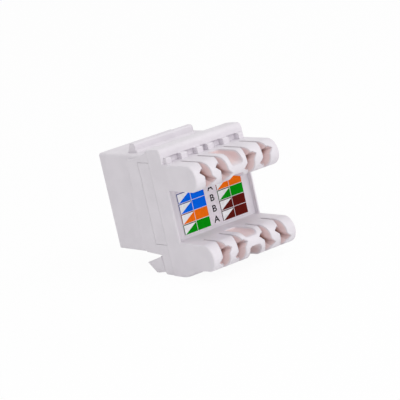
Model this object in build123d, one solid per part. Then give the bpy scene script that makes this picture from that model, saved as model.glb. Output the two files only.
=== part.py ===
from build123d import *
import os

# Keystone jack: an eight-way modular socket that snaps into a wall plate, with two
# rows of slots at the back where the wires of a network cable are pressed in.
# Millimetres. Each piece is drawn with y = 0 at the port face, y growing towards the
# wire side, z = 0 at the underside of the front housing and x = 0 on its middle.
# The last step moves everything so that the origin is under the middle of the jack.

# Port
port_width = 12.0
port_height = 7.1
port_floor = 4.2
port_depth = 11.6
port_lead_in = 0.4
tab_slot_width = 6.2
tab_slot_height = 1.6
tab_mouth_width = 3.8
tab_mouth_height = 1.0
tab_mouth_depth = 3.6

# Front housing
port_side_wall = 1.3
housing_roof_wall = 1.6
housing_edge_round = 0.45
flange_start = 8.2
flange_lean = 1.1
flange_overhang = 0.55
flange_drop = 0.25
flange_toe_length = 0.95
flange_toe_height = 0.75
flange_shoulder_drop = 0.7
flange_edge_round = 0.25
roof_rise = 1.15
ramp_bow = 0.35
skirt_length = 2.6
skirt_drop = 3.4
skirt_edge_round = 0.35

# Catch ridge on top of the housing
ridge_side_margin = 1.6
ridge_shift = 0.42
ridge_lead = 0.6
ridge_ramp = 0.8
ridge_length = 1.5
ridge_height = 1.5
ridge_edge_round = 0.3
ridge_root_round = 0.4

# Contact carrier behind and above the port
fit_gap = 0.08
carrier_plate_start = 3.6
carrier_plate_thickness = 3.1
carrier_wall_thickness = 2.3
carrier_wall_overlap = 0.3
carrier_groove_width = 0.62
carrier_groove_depth = 0.62
comb_slot_depth = 1.3
comb_slot_height = 3.7
tail_chamber_depth = 0.85

# Spring contact wires
wire_count = 8
wire_pitch = 1.02
wire_width = 0.45
wire_thickness = 0.35
wire_bend_radius = 0.45
wire_fold_inset = 1.4
wire_fold_drop = 1.1
wire_fold_reach = 0.4
wire_tip_entry = 0.7
wire_tip_drop = 2.35
tail_length = 0.45
tail_hole_gap = 0.1
tail_room = 0.3

# Circuit board
board_thickness = 1.6
board_side_margin = 0.5
board_end_margin = 1.8
board_recess = 1.15
board_rim = 0.4

# Snap tongues that hold the two shells together
seam_gap = 0.03
tongue_reach = 3.4
tongue_thickness = 0.8
tongue_bottom = 1.65
tongue_top_margin = 1.0
snap_nub_height = 0.3
snap_nub_length = 0.7
snap_nub_width = 5.0

# Termination block
block_overhang = 0.15
block_thickness = 3.8
block_roof_crown = 0.15
block_roof_round = 0.8
block_edge_round = 0.25
skirt_fade_lead = 1.5
skirt_fade_length = 7.4
plate_recess = 0.8
plate_side_wall = 0.4
arm_reach = 8.6
upper_arm_drop = 1.1
upper_arm_thickness = 4.2
lower_arm_rise = 1.5
lower_arm_thickness = 4.25

# Wire slots in the arms
outer_finger_width = 2.43
slot_pitch = 3.04
upper_slot_root = 1.8
lower_slot_root = 3.0
slit_width = 0.36
flare_length = 2.0
flare_width = 1.45

# Slanted mouths that show the blades of the forked terminals
mouth_depth = 2.0
mouth_length = 3.3
mouth_thickness = 0.84
blade_angle = 45

# Gouges in the middle fingers, as shares of that finger's width and the arm's thickness
gouge_root = 2.3
gouge_round = 0.5
deep_gouge_depth = 0.6
deep_gouge_width_share = 0.47
deep_gouge_nose_share = 0.465
shallow_gouge_depth = 0.35
shallow_gouge_width_share = 0.51
shallow_gouge_nose_share = 0.2

# Ledge along the root of the upper arm, notched over each slot and in the middle
ledge_reach = 0.75
ledge_height = 0.95
ledge_side_margin = 0.5
ledge_edge_round = 0.2
ledge_notch_width = 1.85
ledge_middle_notch_width = 0.95
ledge_notch_depth = 1.2

# Forked terminals that bite the wires
fork_width = 1.9
fork_thickness = 0.35
fork_setback = 3.1
fork_gap = 0.28
fork_gap_depth = 3.2
fork_mouth_width = 1.1
fork_mouth_depth = 0.8
fork_shoulder_gap = 0.3
fork_tail_width = 0.55
fork_pocket_gap = 0.07

# Colour label on the back plate
label_thickness = 0.1
label_side_margin = 1.3
label_top_margin = 0.8
label_bottom_margin = 0.45

# Spring latch under the housing
latch_root_radius = 0.5
latch_hinge_gap = 0.06
latch_root_inset = 0.2
latch_root_drop = 0.95
latch_web_thickness = 0.7
latch_reach = 5.0
latch_tip_drop = 1.75
latch_corner_reach = 2.6
latch_drop = 3.3
latch_heel_drop = 3.0
latch_heel_gap = 0.1
latch_shoulder_gap = 0.25
latch_side_gap = 0.1
latch_side_wall = 0.4
latch_corner_round = 0.3
latch_edge_round = 0.15

# One overrun serves every cut that runs out of a face
overrun = 1.0

# Sizes that follow from the ones above
housing_width = port_width + 2 * port_side_wall
port_ceiling = port_floor + port_height
carrier_top = port_ceiling + carrier_plate_thickness
housing_height = carrier_top + housing_roof_wall
carrier_wall_back = port_depth + carrier_wall_thickness
board_front = carrier_wall_back + tail_chamber_depth
board_back = board_front + board_thickness
parting_depth = board_front + board_recess
skirt_start = parting_depth - skirt_length
flange_width = housing_width + 2 * flange_overhang
roof_height = housing_height + roof_rise
block_width = flange_width + 2 * block_overhang
block_back = parting_depth + block_thickness
plate_depth = block_back - plate_recess
nose_tip = block_back + arm_reach
board_half = port_width / 2 + board_side_margin
board_bottom = board_end_margin - skirt_drop
board_top = housing_height - board_end_margin
upper_arm_top = housing_height - upper_arm_drop
upper_arm_bottom = upper_arm_top - upper_arm_thickness
upper_arm_middle = (upper_arm_top + upper_arm_bottom) / 2
lower_arm_bottom = lower_arm_rise - skirt_drop
lower_arm_top = lower_arm_bottom + lower_arm_thickness
lower_arm_middle = (lower_arm_top + lower_arm_bottom) / 2
slot_outer_offset = block_width / 2 - outer_finger_width
slot_inner_offset = slot_outer_offset - slot_pitch
slot_places = [-slot_outer_offset, -slot_inner_offset, slot_inner_offset, slot_outer_offset]
middle_finger_width = 2 * slot_inner_offset - slit_width
mouth_start = nose_tip - mouth_depth
fork_tip = nose_tip - fork_setback
wire_places = [(n - (wire_count - 1) / 2) * wire_pitch for n in range(wire_count)]
wire_run_height = port_ceiling + carrier_groove_depth / 2
tongue_top = housing_height - tongue_top_margin
latch_width = flange_width - 2 * latch_side_gap
latch_root_width = flange_width - 2 * latch_side_wall - 2 * latch_side_gap
latch_root_depth = skirt_start + latch_root_inset


def slab(x_range, y_range, z_range):
    """A block between two corners, given as a range along each axis."""
    ranges = (x_range, y_range, z_range)
    sizes = [high - low for low, high in ranges]
    middles = [(high + low) / 2 for low, high in ranges]
    return Pos(*middles) * Box(*sizes)


def across(width, *outline, middle=0.0):
    """A side outline in (depth, height), drawn through a width along x."""
    edges = [edge for line in outline for edge in line.edges()]
    face = Plane.YZ * make_face(edges)
    return extrude(Pos(middle - width / 2, 0, 0) * face, amount=width, dir=(1, 0, 0))


def side_prism(width, points, middle=0.0):
    """A straight-sided side outline drawn through a width along x."""
    return across(width, Polyline(*points, close=True), middle=middle)


def plan_prism(points, low, high):
    """A straight-sided plan outline drawn up from one height to another."""
    face = make_face(Polyline(*points, close=True))
    return extrude(Pos(0, 0, low) * face, amount=high - low, dir=(0, 0, 1))


def side_edges(solid):
    """The edges of the two flat sides of something that across() has drawn."""
    groups = solid.edges().group_by(Axis.X)
    return groups[0] + groups[-1]


def housing_core():
    core = slab(
        (-housing_width / 2, housing_width / 2), (0, parting_depth), (0, housing_height)
    )
    front = core.edges().group_by(Axis.Y)[0]
    top_sides = core.edges().filter_by(Axis.Y).group_by(Axis.Z)[-1]
    return fillet(front + top_sides, housing_edge_round)


def housing_flange():
    """The wider stop that meets the wall plate, with its ramp and lower skirt."""
    top_front = flange_start + flange_lean
    shoulder = housing_height - flange_shoulder_drop
    ramp_middle = ((top_front + parting_depth) / 2, (shoulder + roof_height) / 2 - ramp_bow)
    ramp = ThreePointArc((top_front, shoulder), ramp_middle, (parting_depth, roof_height))
    rest = Polyline(
        (parting_depth, roof_height),
        (parting_depth, -skirt_drop),
        (skirt_start + skirt_edge_round, -skirt_drop),
        (skirt_start, -skirt_drop + skirt_edge_round),
        (skirt_start, -flange_drop),
        (flange_start + flange_toe_length, 0),
        (flange_start, flange_toe_height),
        (top_front, shoulder),
    )
    flange = across(flange_width, ramp, rest)
    edges = side_edges(flange)
    return fillet(edges - edges.group_by(Axis.Y)[-1], flange_edge_round)


def catch_ridge():
    foot = flange_start - ridge_lead
    top_start = foot + ridge_ramp
    catch = top_start + ridge_length
    top = housing_height + ridge_height
    profile = [
        (foot, housing_height),
        (top_start, top - ridge_edge_round),
        (top_start + ridge_edge_round, top),
        (catch - ridge_edge_round, top),
        (catch, top - ridge_edge_round),
        (catch, housing_height + ridge_root_round),
        (catch + ridge_root_round, housing_height),
    ]
    return side_prism(housing_width - 2 * ridge_side_margin, profile, middle=ridge_shift)


def port_space():
    """What is cut for the plug, its latch tab and the lead-in round the mouth."""
    half = port_width / 2
    mouth = slab((-half, half), (-overrun, port_depth), (port_floor, port_ceiling))
    tab_half = tab_slot_width / 2
    tab_floor = port_floor - tab_slot_height
    tab = slab((-tab_half, tab_half), (-overrun, port_depth), (tab_floor, port_floor))
    lever_half = tab_mouth_width / 2
    lever = slab(
        (-lever_half, lever_half), (-overrun, tab_mouth_depth), (tab_floor - tab_mouth_height, tab_floor)
    )
    return mouth + tab + lever


def housing_inside():
    """The chamber for the contact carrier and the recess for the circuit board."""
    plate_half = port_width / 2 + fit_gap
    plate_room = slab(
        (-plate_half, plate_half),
        (carrier_plate_start - fit_gap, parting_depth + overrun),
        (port_ceiling, carrier_top + fit_gap),
    )
    wall_half = port_width / 2 + carrier_wall_overlap + fit_gap
    wall_room = slab(
        (-wall_half, wall_half),
        (port_depth, parting_depth + overrun),
        (port_floor - fit_gap, carrier_top + fit_gap),
    )
    tail_half = board_half - board_rim
    tail_chamber = slab(
        (-tail_half, tail_half),
        (carrier_wall_back, parting_depth),
        (board_bottom + board_rim, board_top - board_rim),
    )
    board_chamber = slab(
        (-board_half - fit_gap, board_half + fit_gap),
        (board_front, parting_depth + overrun),
        (board_bottom - fit_gap, board_top + fit_gap),
    )
    return plate_room + wall_room + tail_chamber + board_chamber


def snap_window(side):
    """The opening in a side wall where a tongue of the termination block lies."""
    outer = flange_width / 2
    inner = outer - tongue_thickness - fit_gap
    front = parting_depth - tongue_reach
    window = slab(
        (inner, outer + overrun),
        (front - seam_gap, parting_depth + overrun),
        (tongue_bottom - seam_gap, tongue_top + seam_gap),
    )
    middle = (tongue_bottom + tongue_top) / 2
    nub_half = snap_nub_width / 2 + fit_gap
    nub_room = slab(
        (inner - snap_nub_height, inner),
        (front - seam_gap, front + snap_nub_length + fit_gap),
        (middle - nub_half, middle + nub_half),
    )
    cut = window + nub_room
    return cut if side > 0 else mirror(cut, about=Plane.YZ)


def latch_seat():
    """The round groove in the skirt's front where the latch's root lies."""
    radius = latch_root_radius + latch_hinge_gap
    length = latch_root_width + 2 * latch_side_gap
    centre = (0, latch_root_depth, -latch_root_drop)
    return Pos(*centre) * Rot(0, 90, 0) * Cylinder(radius, length)


def front_housing():
    body = housing_core() + housing_flange() + catch_ridge()
    body -= port_space()
    mouth = body.faces().filter_by(Axis.Y).sort_by(Axis.Y)[0].inner_wires()[0]
    body = chamfer(mouth.edges(), port_lead_in)
    body -= housing_inside()
    body -= snap_window(1) + snap_window(-1)
    return body - latch_seat()


def spring_latch():
    """The arrow-shaped latch: a wedge that points forward from a round root."""
    corner = latch_root_depth - latch_corner_reach
    wedge = side_prism(
        latch_width,
        [
            (skirt_start - latch_shoulder_gap, -latch_root_drop + latch_root_radius),
            (latch_root_depth - latch_reach, -latch_tip_drop),
            (corner - latch_corner_round, -latch_drop),
            (corner + latch_corner_round, -latch_drop),
            (skirt_start - latch_heel_gap, -latch_heel_drop),
        ],
    )
    wedge = fillet(side_edges(wedge), latch_edge_round)
    half = latch_root_width / 2
    web = slab(
        (-half, half),
        (latch_root_depth - latch_corner_reach / 2, latch_root_depth),
        (-latch_root_drop - latch_web_thickness / 2, -latch_root_drop + latch_web_thickness / 2),
    )
    centre = (0, latch_root_depth, -latch_root_drop)
    return wedge + web + Pos(*centre) * Rot(0, 90, 0) * Cylinder(latch_root_radius, latch_root_width)


def contact_carrier():
    plate_half = port_width / 2
    plate = slab(
        (-plate_half, plate_half),
        (carrier_plate_start, carrier_wall_back),
        (port_ceiling + fit_gap, carrier_top),
    )
    wall_half = plate_half + carrier_wall_overlap
    wall = slab(
        (-wall_half, wall_half),
        (port_depth + fit_gap, carrier_wall_back),
        (port_floor, carrier_top),
    )
    body = plate + wall
    groove_half = carrier_groove_width / 2
    for x in wire_places:
        body -= slab(
            (x - groove_half, x + groove_half),
            (carrier_plate_start - overrun, carrier_wall_back + overrun),
            (port_ceiling - fit_gap, port_ceiling + carrier_groove_depth),
        )
        body -= slab(
            (x - groove_half, x + groove_half),
            (port_depth - overrun, port_depth + comb_slot_depth),
            (port_ceiling - comb_slot_height, port_ceiling + carrier_groove_depth),
        )
    return body


def contact_wire(x):
    """One spring wire: a tail through the board, a run under the plate and a folded spring leg."""
    fold = carrier_plate_start + wire_fold_inset
    path = FilletPolyline(
        (x, board_back + tail_length, wire_run_height),
        (x, fold, wire_run_height),
        (x, fold - wire_fold_reach, wire_run_height - wire_fold_drop),
        (x, port_depth + wire_tip_entry, port_ceiling - wire_tip_drop),
        radius=wire_bend_radius,
    )
    section = Plane(origin=path @ 0, x_dir=(1, 0, 0), z_dir=path % 0) * Rectangle(wire_width, wire_thickness)
    return sweep(section, path=path)


def circuit_board():
    board = slab((-board_half, board_half), (board_front, board_back), (board_bottom, board_top))
    wire_half = wire_width / 2 + tail_hole_gap
    for x in wire_places:
        board -= slab(
            (x - wire_half, x + wire_half),
            (board_front - overrun, board_back + overrun),
            (wire_run_height - wire_half, wire_run_height + wire_half),
        )
    fork_half = fork_tail_width / 2 + tail_hole_gap
    for x in slot_places:
        for z in (upper_arm_middle, lower_arm_middle):
            board -= slab(
                (x - fork_half, x + fork_half),
                (board_front - overrun, board_back + overrun),
                (z - fork_half, z + fork_half),
            )
    return board


def blade_frame(x, z):
    """Where a blade lies: its outer end leans towards the outer face of its arm."""
    outwards = 1 if x > 0 else -1
    lean = outwards if z > lower_arm_top else -outwards
    return Pos(x, 0, z) * Rot(0, -blade_angle * lean, 0)


def fork_terminal(x, z):
    """One flat terminal: two tines with a narrow gap, a shoulder and a tail."""
    half = fork_width / 2
    tail_half = fork_tail_width / 2
    shoulder = board_back + fork_shoulder_gap
    tail_end = board_front - tail_length
    gap_half = fork_gap / 2
    mouth_half = fork_mouth_width / 2
    outline = [
        (-tail_half, tail_end),
        (tail_half, tail_end),
        (tail_half, shoulder),
        (half, shoulder),
        (half, fork_tip),
        (mouth_half, fork_tip),
        (gap_half, fork_tip - fork_mouth_depth),
        (gap_half, fork_tip - fork_gap_depth),
        (-gap_half, fork_tip - fork_gap_depth),
        (-gap_half, fork_tip - fork_mouth_depth),
        (-mouth_half, fork_tip),
        (-half, fork_tip),
        (-half, shoulder),
        (-tail_half, shoulder),
    ]
    return blade_frame(x, z) * plan_prism(outline, -fork_thickness / 2, fork_thickness / 2)


def fork_pocket(x, z):
    """The pocket that holds one forked terminal, from the board to the slanted mouth."""
    half = fork_width / 2 + fork_pocket_gap
    thick = fork_thickness / 2 + fork_pocket_gap
    pocket = slab((-half, half), (parting_depth - overrun, mouth_start), (-thick, thick))
    return blade_frame(x, z) * pocket


def blade_mouth(x, z):
    """The slanted mouth in front of one blade, widest at the nose."""
    inner_length = fork_width + 2 * fork_pocket_gap
    inner_thickness = fork_thickness + 2 * fork_pocket_gap
    growth = (mouth_depth + overrun) / mouth_depth
    outer_length = inner_length + (mouth_length - inner_length) * growth
    outer_thickness = inner_thickness + (mouth_thickness - inner_thickness) * growth
    sections = []
    for depth, length, thickness in (
        (mouth_start, inner_length, inner_thickness),
        (nose_tip + overrun, outer_length, outer_thickness),
    ):
        plane = Plane(origin=(0, depth, 0), x_dir=(1, 0, 0), z_dir=(0, 1, 0))
        sections.append(plane * Rectangle(length, thickness))
    return blade_frame(x, z) * loft(sections)


def block_outline():
    """The block's side outline: roof, upper arm, back plate, lower arm and skirt."""
    upper_straight = nose_tip - upper_arm_thickness / 2
    lower_straight = nose_tip - lower_arm_thickness / 2
    roof_end = block_back - block_roof_round
    fade_start = block_back - skirt_fade_lead
    fade_end = fade_start + skirt_fade_length
    roof_peak = roof_height + block_roof_crown
    return [
        TangentArc((roof_end, roof_peak), (parting_depth, roof_height), tangent=(-1, 0)),
        JernArc((roof_end, roof_peak), (1, 0), block_roof_round, -90),
        Polyline(
            (block_back, roof_peak - block_roof_round),
            (block_back, upper_arm_top),
            (upper_straight, upper_arm_top),
        ),
        ThreePointArc(
            (upper_straight, upper_arm_top), (nose_tip, upper_arm_middle), (upper_straight, upper_arm_bottom)
        ),
        Polyline(
            (upper_straight, upper_arm_bottom),
            (block_back, upper_arm_bottom),
            (block_back, lower_arm_top),
            (lower_straight, lower_arm_top),
        ),
        ThreePointArc(
            (lower_straight, lower_arm_top), (nose_tip, lower_arm_middle), (lower_straight, lower_arm_bottom)
        ),
        Line((lower_straight, lower_arm_bottom), (fade_end, lower_arm_bottom)),
        Spline((fade_end, lower_arm_bottom), (fade_start, -skirt_drop), tangents=((-1, 0), (-1, 0))),
        Polyline((fade_start, -skirt_drop), (parting_depth, -skirt_drop), (parting_depth, roof_height)),
    ]


def plate_recess_cut():
    half = block_width / 2 - plate_side_wall
    return slab((-half, half), (plate_depth, block_back + overrun), (lower_arm_top, upper_arm_bottom))


def slot_cut(x, start, low, high):
    """One wire slot in plan: a narrow slit that flares at the nose."""
    slit_half = slit_width / 2
    flare_half = flare_width / 2
    flare_start = nose_tip - flare_length
    outline = [
        (x - slit_half, start),
        (x + slit_half, start),
        (x + slit_half, flare_start),
        (x + flare_half, nose_tip),
        (x + flare_half, nose_tip + overrun),
        (x - flare_half, nose_tip + overrun),
        (x - flare_half, nose_tip),
        (x - slit_half, flare_start),
    ]
    return plan_prism(outline, low, high)


def gouge_cut(width, depth, nose_depth, surface, towards):
    """A rounded groove along a middle finger, deeper at the nose; towards is +1 to cut down."""
    start = block_back + gouge_root
    points = [
        (start, surface + towards * overrun),
        (start, surface - towards * depth),
        (nose_tip, surface - towards * nose_depth),
        (nose_tip + overrun, surface - towards * nose_depth),
        (nose_tip + overrun, surface + towards * overrun),
    ]
    cut = side_prism(width, points)
    return fillet(side_edges(cut), gouge_round)


def middle_finger_gouges():
    """Each middle finger has a deep gouge on its outer face and a shallow one on its inner face."""
    deep_width = deep_gouge_width_share * middle_finger_width
    shallow_width = shallow_gouge_width_share * middle_finger_width
    arms = (
        (upper_arm_thickness, upper_arm_top, upper_arm_bottom, 1),
        (lower_arm_thickness, lower_arm_bottom, lower_arm_top, -1),
    )
    cuts = []
    for thickness, outer, inner, towards in arms:
        deep = deep_gouge_nose_share * thickness
        shallow = shallow_gouge_nose_share * thickness
        cuts.append(gouge_cut(deep_width, deep_gouge_depth, deep, outer, towards))
        cuts.append(gouge_cut(shallow_width, shallow_gouge_depth, shallow, inner, -towards))
    return cuts


def root_ledge():
    """The ledge behind the roof, with its rear edges rounded."""
    half = block_width / 2 - ledge_side_margin
    rear = block_back + ledge_reach
    top = upper_arm_top + ledge_height
    ledge = slab((-half, half), (plate_depth, rear), (upper_arm_middle, top))
    return fillet(ledge.edges().group_by(Axis.Y)[-1], ledge_edge_round)


def ledge_notches():
    """A notch over each upper slot and a narrow one between the middle two."""
    places = [(x, ledge_notch_width) for x in slot_places] + [(0, ledge_middle_notch_width)]
    rear = block_back + ledge_reach
    notches = [
        slab(
            (x - width / 2, x + width / 2),
            (rear - ledge_notch_depth, rear + overrun),
            (upper_arm_top, upper_arm_top + ledge_height),
        )
        for x, width in places
    ]
    return Part() + notches


def snap_tongue(side):
    outer = flange_width / 2
    inner = outer - tongue_thickness
    front = parting_depth - tongue_reach
    tongue = slab((inner, outer), (front, parting_depth), (tongue_bottom, tongue_top))
    middle = (tongue_bottom + tongue_top) / 2
    nub_half = snap_nub_width / 2
    nub = slab(
        (inner - snap_nub_height + fit_gap, inner),
        (front, front + snap_nub_length),
        (middle - nub_half, middle + nub_half),
    )
    piece = tongue + nub
    return piece if side > 0 else mirror(piece, about=Plane.YZ)


def block_shell():
    """The block with soft side edges, apart from the face that meets the front housing."""
    shell = across(block_width, *block_outline())
    edges = side_edges(shell)
    shell = fillet(edges - edges.group_by(Axis.Y)[0], block_edge_round)
    return shell + root_ledge()


def termination_block():
    body = block_shell()
    body -= plate_recess_cut()
    body -= slab(
        (-board_half - fit_gap, board_half + fit_gap),
        (parting_depth - overrun, board_back),
        (board_bottom - fit_gap, board_top + fit_gap),
    )
    tails_half = wire_places[-1] + wire_width / 2 + tail_room
    body -= slab(
        (-tails_half, tails_half),
        (board_front, board_back + tail_length + tail_room),
        (wire_run_height - tail_room - wire_width / 2, wire_run_height + tail_room + wire_width / 2),
    )
    arms = (
        (block_back + upper_slot_root, upper_arm_bottom - overrun, upper_arm_top + overrun),
        (block_back + lower_slot_root, lower_arm_bottom - overrun, lower_arm_top + overrun),
    )
    for start, low, high in arms:
        for x in slot_places:
            body -= slot_cut(x, start, low, high)
    for gouge in middle_finger_gouges():
        body -= gouge
    body -= ledge_notches()
    for x in slot_places:
        for z in (upper_arm_middle, lower_arm_middle):
            body -= fork_pocket(x, z)
            body -= blade_mouth(x, z)
    return body + snap_tongue(1) + snap_tongue(-1)


def colour_label():
    half = block_width / 2 - plate_side_wall - label_side_margin
    low = lower_arm_top + label_bottom_margin
    high = upper_arm_bottom - label_top_margin
    return slab((-half, half), (plate_depth, plate_depth + label_thickness), (low, high))


def pieces():
    yield "front_housing", front_housing()
    yield "spring_latch", spring_latch()
    yield "contact_carrier", contact_carrier()
    for number, x in enumerate(wire_places, 1):
        yield f"contact_wire_{number}", contact_wire(x)
    yield "circuit_board", circuit_board()
    for number, x in enumerate(slot_places, 1):
        yield f"upper_fork_terminal_{number}", fork_terminal(x, upper_arm_middle)
    for number, x in enumerate(slot_places, 1):
        yield f"lower_fork_terminal_{number}", fork_terminal(x, lower_arm_middle)
    yield "termination_block", termination_block()
    yield "colour_label", colour_label()


# Everything moves so that the origin lies under the middle of the jack
os.makedirs("parts", exist_ok=True)
place = Pos(0, -nose_tip / 2, skirt_drop)
for name, piece in pieces():
    export_step(place * piece, f"parts/{name}.step")
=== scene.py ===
import math

import bmesh
import bpy
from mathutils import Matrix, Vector


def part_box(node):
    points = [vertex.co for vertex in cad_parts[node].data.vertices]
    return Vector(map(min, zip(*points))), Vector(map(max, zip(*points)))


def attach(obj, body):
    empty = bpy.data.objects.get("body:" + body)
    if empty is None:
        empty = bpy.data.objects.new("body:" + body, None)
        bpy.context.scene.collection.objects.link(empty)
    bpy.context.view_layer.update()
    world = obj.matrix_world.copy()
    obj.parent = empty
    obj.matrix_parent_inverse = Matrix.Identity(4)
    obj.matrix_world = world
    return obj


# A keystone jack seen from behind and to one side: white shells, a printed colour
# label between the two rows of wire slots, and bare metal inside. Metres throughout.
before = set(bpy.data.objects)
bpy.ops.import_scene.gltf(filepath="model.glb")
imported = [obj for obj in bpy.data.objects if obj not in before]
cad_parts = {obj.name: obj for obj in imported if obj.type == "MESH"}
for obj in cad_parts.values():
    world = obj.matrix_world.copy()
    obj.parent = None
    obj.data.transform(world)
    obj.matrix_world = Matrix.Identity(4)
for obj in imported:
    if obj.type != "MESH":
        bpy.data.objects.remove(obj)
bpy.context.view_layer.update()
MM = 0.001

# Places read from the frame: the noses of the arms, their middles and the label's face
NOSE_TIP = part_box("termination_block")[1][1]
UPPER_MIDDLE, LOWER_MIDDLE = [
    (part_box(f"{row}_fork_terminal_1")[0][2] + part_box(f"{row}_fork_terminal_1")[1][2]) / 2
    for row in ("upper", "lower")
]
LABEL_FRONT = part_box("colour_label")[1][1]
LABEL_BOTTOM, LABEL_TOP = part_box("colour_label")[0][2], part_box("colour_label")[1][2]

# The label lies this far under the upper arm and over the lower one
LABEL_TOP_GAP = 0.8 * MM
LABEL_BOTTOM_GAP = 0.45 * MM
UPPER_RADIUS = UPPER_MIDDLE - LABEL_TOP - LABEL_TOP_GAP
LOWER_RADIUS = LABEL_BOTTOM - LABEL_BOTTOM_GAP - LOWER_MIDDLE

# Where painted shade goes on the arms: warm painted shade where the skin ends and the slots, mouths and
# gouges begin, a dark painted shadow in the depths of the slots, and less painted shade on the gouges
# near the nose
SIDE_SKIN = 7.15 * MM
SKIN_FADE = 0.2 * MM
WARM_SHADE_DEPTHS = (0.03 * MM, 0.4 * MM)
DARK_SHADE_DEPTHS = (1.0 * MM, 2.1 * MM)
GOUGE_HALF = 1.35 * MM
GOUGE_SHADE_CUT_END = 0.3 * MM
GOUGE_SHADE_CUT = 0.75

# The printed fields of the label
BLOCK_SPANS = ((6.26 * MM, 1.17 * MM), (-1.21 * MM, -6.15 * MM))
TOP_MARGIN = 0.29 * MM
ROW_HEIGHT = 1.675 * MM
FIELD_GAP = 0.09 * MM
OUTLINE = 0.13 * MM
PRINT_LIFT = 0.012 * MM
LETTER_HEIGHT = 1.5 * MM
LETTER_BOLDNESS = 0.028 * MM
LETTER_SHIFT = -0.08 * MM
LETTER_PITCH = 1.74 * MM

# The studio: each softbox has a place, a width and height, and a power
SURROUND_LIGHT = 0.66
SOFTBOXES = {
    "key_softbox": ((-0.08, 0.34, 0.32), (0.30, 0.30), 0.62),
    "fill_softbox": ((0.10, 0.30, 0.035), (0.30, 0.06), 0.09),
    "top_softbox": ((0.0, 0.0, 0.45), (0.35, 0.35), 0.1),
}
LIT_POINT = (0.0, 0.0, 0.010)
FLOOR_SIZE = 3.0
FLOOR_DROP = 0.02 * MM
FLOOR_LIFT = 0.95
WHITE = (1.0, 1.0, 1.0, 1.0)
FLOOR_PALE = (0.95, 0.95, 0.95, 1.0)

# The camera, as fitted to the straight edges in the photograph
LENS_LENGTH = 176.69
SENSOR_WIDTH = 36.0
CLIP_RANGE = (0.01, 10.0)
CAMERA_PLACE = (0.1626066, 0.2580611, 0.0725944)
CAMERA_TURN = (78.0844, 12.4600, 145.0356)


class Value:
    """A shader output that can be used in Python arithmetic."""

    def __init__(self, shader, socket):
        self.shader = shader
        self.socket = socket

    def _maths(self, operation, first, second):
        return self.shader.node("ShaderNodeMath", {"operation": operation}, {0: first, 1: second})

    def __add__(self, other):
        return self._maths("ADD", self, other)

    def __radd__(self, other):
        return self._maths("ADD", other, self)

    def __sub__(self, other):
        return self._maths("SUBTRACT", self, other)

    def __rsub__(self, other):
        return self._maths("SUBTRACT", other, self)

    def __mul__(self, other):
        return self._maths("MULTIPLY", self, other)

    def __rmul__(self, other):
        return self._maths("MULTIPLY", other, self)

    def __pow__(self, power):
        return self._maths("POWER", self, power)

    def __abs__(self):
        return self.shader.node("ShaderNodeMath", {"operation": "ABSOLUTE"}, {0: self})

    def at_least(self, other):
        return self._maths("MAXIMUM", self, other)


class Shader:
    """The nodes of a material or of the world: its surface and what feeds it."""

    def __init__(self, owner, **constants):
        owner.use_nodes = True
        self.owner = owner
        self.tree = owner.node_tree
        self.drawn = next(node.inputs["Surface"] for node in self.tree.nodes if "Surface" in node.inputs)
        self.surface = self.drawn.links[0].from_node
        self.feed(**constants)

    def node(self, kind, settings=None, values=None, output=0):
        made = self.tree.nodes.new(kind)
        for name, value in (settings or {}).items():
            setattr(made, name, value)
        for place, value in (values or {}).items():
            self.connect(made.inputs[place], value)
        return Value(self, made.outputs[output])

    def connect(self, socket, value):
        if isinstance(value, Value):
            self.tree.links.new(value.socket, socket)
        else:
            socket.default_value = value

    def feed(self, **values):
        for socket, value in values.items():
            self.connect(self.surface.inputs[socket.replace("_", " ")], value)

    def show(self, white, share):
        """Shows the camera, mirrors and glass a share of plain white in place of the lit surface."""
        kinds = ("Is Camera Ray", "Is Glossy Ray", "Is Transmission Ray")
        camera_ray, glossy, through = [self.node("ShaderNodeLightPath", output=kind) for kind in kinds]
        seen = share * camera_ray.at_least(glossy).at_least(through)
        lit = Value(self, self.surface.outputs[0])
        self.connect(self.drawn, self.node("ShaderNodeMixShader", values={0: seen, 1: lit, 2: white}))

    def place(self):
        """The point on the object, in the CAD frame, whichever way the piece is turned."""
        return self.node("ShaderNodeTexCoord", output="Object")

    def axes(self):
        """The same point as three numbers."""
        split = self.node("ShaderNodeSeparateXYZ", values={"Vector": self.place()}).socket.node
        return [Value(self, output) for output in split.outputs]

    def noise(self, scale, detail=3.0, roughness=0.55, stretch=(1, 1, 1)):
        mapping = {"Vector": self.place(), "Scale": stretch}
        mapped = self.node("ShaderNodeMapping", values=mapping)
        values = {"Vector": mapped, "Scale": scale, "Detail": detail, "Roughness": roughness}
        return self.node("ShaderNodeTexNoise", values=values)

    def ramp(self, value, low, high):
        """A smooth rise from 0 at the low value to 1 at the high one."""
        settings = {"clamp": True, "interpolation_type": "SMOOTHSTEP"}
        values = {"Value": value, "From Min": low, "From Max": high}
        return self.node("ShaderNodeMapRange", settings, values)

    def blend(self, share, first, second):
        settings = {"data_type": "RGBA"}
        return self.node("ShaderNodeMix", settings, {0: share, 6: first, 7: second}, output=2)

    def bump(self, height, strength, depth, normal=None):
        values = {"Height": height, "Strength": strength, "Distance": depth}
        if normal is not None:
            values["Normal"] = normal
        return self.node("ShaderNodeBump", values=values)


def rgb(red, green, blue):
    """A colour as it looks on screen, from 0 to 255, turned into the shader's linear values."""
    shares = [level / 255 for level in (red, green, blue)]
    linear = [((c + 0.055) / 1.055) ** 2.4 if c > 0.04045 else c / 12.92 for c in shares]
    return (*linear, 1.0)


def arm_depth(shader, middle, radius):
    """How far a point lies under the rounded skin of one arm."""
    y, z = shader.axes()[1:]
    past = (y - (NOSE_TIP - radius)).at_least(0.0)
    across = z - middle
    return radius - (past * past + across * across) ** 0.5


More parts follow.
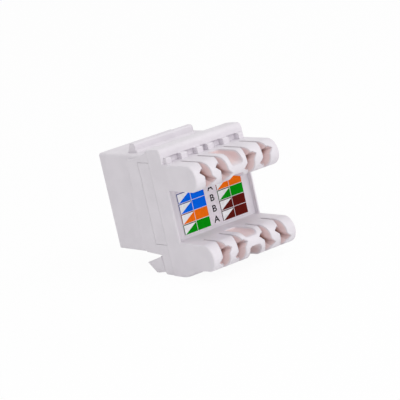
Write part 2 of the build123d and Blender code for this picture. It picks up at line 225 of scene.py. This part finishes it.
def slot_painted_shade(shader, colour):
    """Paints shade into the plastic: a warm painted shade inside slots and gouges, less of it on the
    gouges near the nose, and a dark painted shadow in the depths of the slots.
    """
    upper = arm_depth(shader, UPPER_MIDDLE, UPPER_RADIUS)
    depth = upper.at_least(arm_depth(shader, LOWER_MIDDLE, LOWER_RADIUS))
    x, y = shader.axes()[:2]
    across = abs(x)
    inside = 1.0 - shader.ramp(across, SIDE_SKIN - SKIN_FADE, SIDE_SKIN)
    beside = shader.ramp(across, GOUGE_HALF, GOUGE_HALF + SKIN_FADE)
    nose = shader.ramp(y, NOSE_TIP - UPPER_RADIUS, NOSE_TIP - GOUGE_SHADE_CUT_END)
    # Less painted shade on the gouges towards the nose
    less_shade = 1.0 - GOUGE_SHADE_CUT * nose * (1.0 - beside)
    warm_shade_share = shader.ramp(depth, *WARM_SHADE_DEPTHS) * inside * less_shade
    dark_shade_share = shader.ramp(depth, *DARK_SHADE_DEPTHS) * inside * beside
    # A warm painted shade, then a dark painted shadow in the deepest parts of the slots
    warm_shaded = shader.blend(warm_shade_share, colour, rgb(234, 214, 214))
    return shader.blend(dark_shade_share, warm_shaded, rgb(196, 152, 142))


def moulded_plastic(name, pale, shade, roughness, edge_radius, shade_painter=None):
    """Moulded plastic with soft edges, a fine grain and faint mottling, and painted shade where a shade
    painter is given.
    """
    shader = Shader(bpy.data.materials.new(name), IOR=1.46, Specular_IOR_Level=0.35)
    cloud = shader.ramp(shader.noise(260.0, 2.0), 0.35, 0.65)
    colour = shader.blend(cloud, shade, pale)
    # The given shade painter adds painted shade to the mottled colour
    shader.feed(Base_Color=shade_painter(shader, colour) if shade_painter else colour)
    grain = shader.noise(5200.0, 2.0)
    shader.feed(Roughness=roughness + 0.12 * shader.noise(900.0, 3.0))
    soft = shader.node("ShaderNodeBevel", {"samples": 6}, {"Radius": edge_radius})
    shader.feed(Normal=shader.bump(grain, 0.12, 0.03 * MM, soft))
    return shader.owner


def board_laminate():
    """Green solder mask over glass cloth."""
    material = bpy.data.materials.new("board_laminate")
    shader = Shader(material, IOR=1.5, Coat_Weight=0.4, Coat_Roughness=0.2)
    weave_values = {"Vector": shader.place(), "Scale": 900.0}
    weave = shader.node("ShaderNodeTexWave", {"wave_type": "BANDS"}, weave_values)
    colour = shader.blend(weave, rgb(28, 92, 52), rgb(34, 104, 60))
    shader.feed(Base_Color=colour, Roughness=0.4 + 0.1 * shader.noise(700.0))
    shader.feed(Normal=shader.bump(weave, 0.15, 0.04 * MM))
    return material


def plated_metal(name, bright, dull, roughness):
    """Plated spring metal with faint drawing streaks."""
    shader = Shader(bpy.data.materials.new(name), Metallic=1.0)
    streak = shader.noise(1500.0, 4.0, stretch=(1, 0.15, 1))
    shader.feed(Base_Color=shader.blend(shader.ramp(streak, 0.3, 0.7), dull, bright))
    shader.feed(Roughness=roughness + 0.15 * streak)
    shader.feed(Normal=shader.bump(streak, 0.1, 0.02 * MM))
    return shader.owner


def printed_ink(name, ink):
    """One flat field of print, with the slight unevenness of ink on film."""
    shader = Shader(bpy.data.materials.new(name), IOR=1.45, Specular_IOR_Level=0.06)
    uneven = shader.noise(2400.0, 3.0)
    darker = (*(0.92 * level for level in ink[:3]), 1.0)
    shader.feed(Base_Color=shader.blend(shader.ramp(uneven, 0.35, 0.6), darker, ink))
    shader.feed(Roughness=0.7 + 0.15 * uneven)
    shader.feed(Normal=shader.bump(uneven, 0.1, 0.01 * MM))
    return shader.owner


def dress(node, material):
    """Gives a CAD node its finish."""
    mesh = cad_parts[node].data
    mesh.materials.clear()
    mesh.materials.append(material)


def flat_fields(name, outlines, material):
    """Flat printed fields on the label, each outline given as (x, z) points."""
    mesh = bmesh.new()
    for outline in outlines:
        corners = [mesh.verts.new((x, LABEL_FRONT + PRINT_LIFT, z)) for x, z in outline]
        face = mesh.faces.new(corners)
        face.normal_update()
        if face.normal.y < 0:
            face.normal_flip()
    data = bpy.data.meshes.new(name)
    mesh.to_mesh(data)
    mesh.free()
    data.materials.append(material)
    fields = bpy.data.objects.new(name, data)
    bpy.context.scene.collection.objects.link(fields)
    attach(fields, "jack")


def label_cells(block, row):
    """The striped cell's two halves and the solid cell of one row, and the striped cell's box."""
    left, right = BLOCK_SPANS[block]
    middle = (left + right) / 2
    top = LABEL_TOP - TOP_MARGIN - row * ROW_HEIGHT
    bottom = top - ROW_HEIGHT + FIELD_GAP
    inner_left = left - OUTLINE
    inner_right = middle + FIELD_GAP / 2
    high = top - OUTLINE
    coloured_half = [(inner_left, bottom), (inner_right, bottom), (inner_right, high)]
    white_half = [(inner_left, bottom), (inner_right, high), (inner_left, high)]
    solid_left = middle - FIELD_GAP / 2
    solid = [(solid_left, bottom), (right, bottom), (right, top), (solid_left, top)]
    outer = (left, inner_right, bottom, top)
    return coloured_half, white_half, solid, outer


def outline_strips(left, right, bottom, top):
    """The thin dark line on the outer side of a striped cell and above it."""
    inner = left - OUTLINE
    return [
        [(left, bottom), (inner, bottom), (inner, top), (left, top)],
        [(inner, top - OUTLINE), (right, top - OUTLINE), (right, top), (inner, top)],
    ]


def label_letter(name, letter, z, material):
    """A row letter, A or B for the two wiring orders, that faces the wire side."""
    words = bpy.data.curves.new(name, "FONT")
    words.body = letter
    words.size = LETTER_HEIGHT
    words.align_x = "CENTER"
    words.align_y = "CENTER"
    words.offset = LETTER_BOLDNESS
    words.materials.append(material)
    piece = bpy.data.objects.new(name, words)
    piece.location = (LETTER_SHIFT, LABEL_FRONT + PRINT_LIFT, z)
    piece.rotation_euler = (math.radians(90), 0, math.radians(180))
    bpy.context.scene.collection.objects.link(piece)
    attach(piece, "jack")


def colour_print():
    """All the colour fields and letters of the label."""
    inks = {
        "blue": (rgb(0, 108, 244), rgb(12, 62, 140)),
        "orange": (rgb(250, 116, 16), rgb(140, 62, 24)),
        "green": (rgb(0, 150, 8), rgb(18, 84, 30)),
        "brown": (rgb(98, 22, 16), rgb(62, 24, 28)),
    }
    white = printed_ink("ink_white", rgb(246, 246, 248))
    black = printed_ink("ink_black", rgb(30, 24, 32))
    blocks = (("blue", "blue", "orange", "green"), ("orange", "green", "brown", "brown"))
    fields = {colour: [] for colour in inks}
    lines = {colour: [] for colour in inks}
    whites = []
    for block, colours in enumerate(blocks):
        for row, colour in enumerate(colours):
            coloured_half, white_half, solid, outer = label_cells(block, row)
            fields[colour] += [coloured_half, solid]
            whites.append(white_half)
            lines[colour] += outline_strips(*outer)
    for colour, (ink, line) in inks.items():
        flat_fields(f"label_{colour}_fields", fields[colour], printed_ink(f"ink_{colour}", ink))
        flat_fields(f"label_{colour}_outlines", lines[colour], printed_ink(f"ink_{colour}_line", line))
    flat_fields("label_white_fields", whites, white)
    for row, letter in enumerate("ABBA"):
        z = LABEL_TOP - TOP_MARGIN - 2 * ROW_HEIGHT + (1.5 - row) * LETTER_PITCH
        label_letter(f"label_letter_{row + 1}", letter, z, black)


def softbox(name, place, size, power):
    """A soft lamp that looks at the middle of the jack."""
    lamp = bpy.data.lights.new(name, "AREA")
    lamp.shape = "RECTANGLE"
    lamp.size, lamp.size_y = size
    lamp.energy = power
    holder = bpy.data.objects.new(name, lamp)
    holder.location = place
    towards = Vector(LIT_POINT) - Vector(place)
    holder.rotation_euler = towards.to_track_quat("-Z", "Y").to_euler()
    bpy.context.scene.collection.objects.link(holder)


def surround():
    """A white world: the camera and reflections see plain white, and the object gets softer light."""
    world = bpy.data.worlds.new("surround")
    bpy.context.scene.world = world
    shader = Shader(world, Color=WHITE, Strength=SURROUND_LIGHT)
    shader.show(shader.node("ShaderNodeBackground", values={"Color": WHITE, "Strength": 1.0}), 1.0)


def floor():
    """A pale floor that keeps a faint shadow and otherwise looks white."""
    bpy.ops.mesh.primitive_plane_add(size=FLOOR_SIZE, location=(0, 0, -FLOOR_DROP))
    plane = bpy.context.object
    plane.name = "studio_floor"
    material = bpy.data.materials.new("studio_floor")
    shader = Shader(material, Roughness=0.9, Base_Color=FLOOR_PALE)
    shader.show(shader.node("ShaderNodeEmission", values={"Color": WHITE, "Strength": 1.0}), FLOOR_LIFT)
    plane.data.materials.append(material)


def studio():
    """The surround, the floor and three soft lamps."""
    surround()
    floor()
    for name, setting in SOFTBOXES.items():
        softbox(name, *setting)


def camera():
    """The photograph's view: a long lens from behind, to the left and a little above."""
    data = bpy.data.cameras.new("view_camera")
    data.lens = LENS_LENGTH
    data.sensor_width = SENSOR_WIDTH
    data.clip_start, data.clip_end = CLIP_RANGE
    holder = bpy.data.objects.new("view_camera", data)
    holder.location = CAMERA_PLACE
    holder.rotation_euler = [math.radians(angle) for angle in CAMERA_TURN]
    bpy.context.scene.collection.objects.link(holder)
    bpy.context.scene.camera = holder


WHITE_SHADES = (rgb(230, 225, 231), rgb(226, 221, 227))
SHELL_ROUGHNESS = 0.42
SHELL_EDGE = 0.22 * MM
CARRIER_SHADES = (rgb(84, 84, 90), rgb(74, 74, 80))
CARRIER_ROUGHNESS = 0.5
CARRIER_EDGE = 0.1 * MM

shell = (*WHITE_SHADES, SHELL_ROUGHNESS, SHELL_EDGE)
carrier = (*CARRIER_SHADES, CARRIER_ROUGHNESS, CARRIER_EDGE)
shell_plastic = moulded_plastic("shell_plastic", *shell)
dress("front_housing", shell_plastic)
dress("spring_latch", shell_plastic)
# The termination block's plastic gets painted shade in its slots and gouges
dress("termination_block", moulded_plastic("block_plastic_painted_shade", *shell, slot_painted_shade))
dress("contact_carrier", moulded_plastic("carrier_plastic", *carrier))
dress("circuit_board", board_laminate())
dress("colour_label", printed_ink("label_film", rgb(235, 228, 235)))
gold = plated_metal("contact_gold", rgb(236, 196, 112), rgb(205, 160, 82), 0.22)
tin = plated_metal("fork_tin", rgb(206, 204, 200), rgb(168, 166, 164), 0.3)
for number in range(1, 9):
    dress(f"contact_wire_{number}", gold)
for number in range(1, 5):
    dress(f"upper_fork_terminal_{number}", tin)
    dress(f"lower_fork_terminal_{number}", tin)

colour_print()
studio()
camera()
bpy.context.scene.view_settings.view_transform = "Standard"
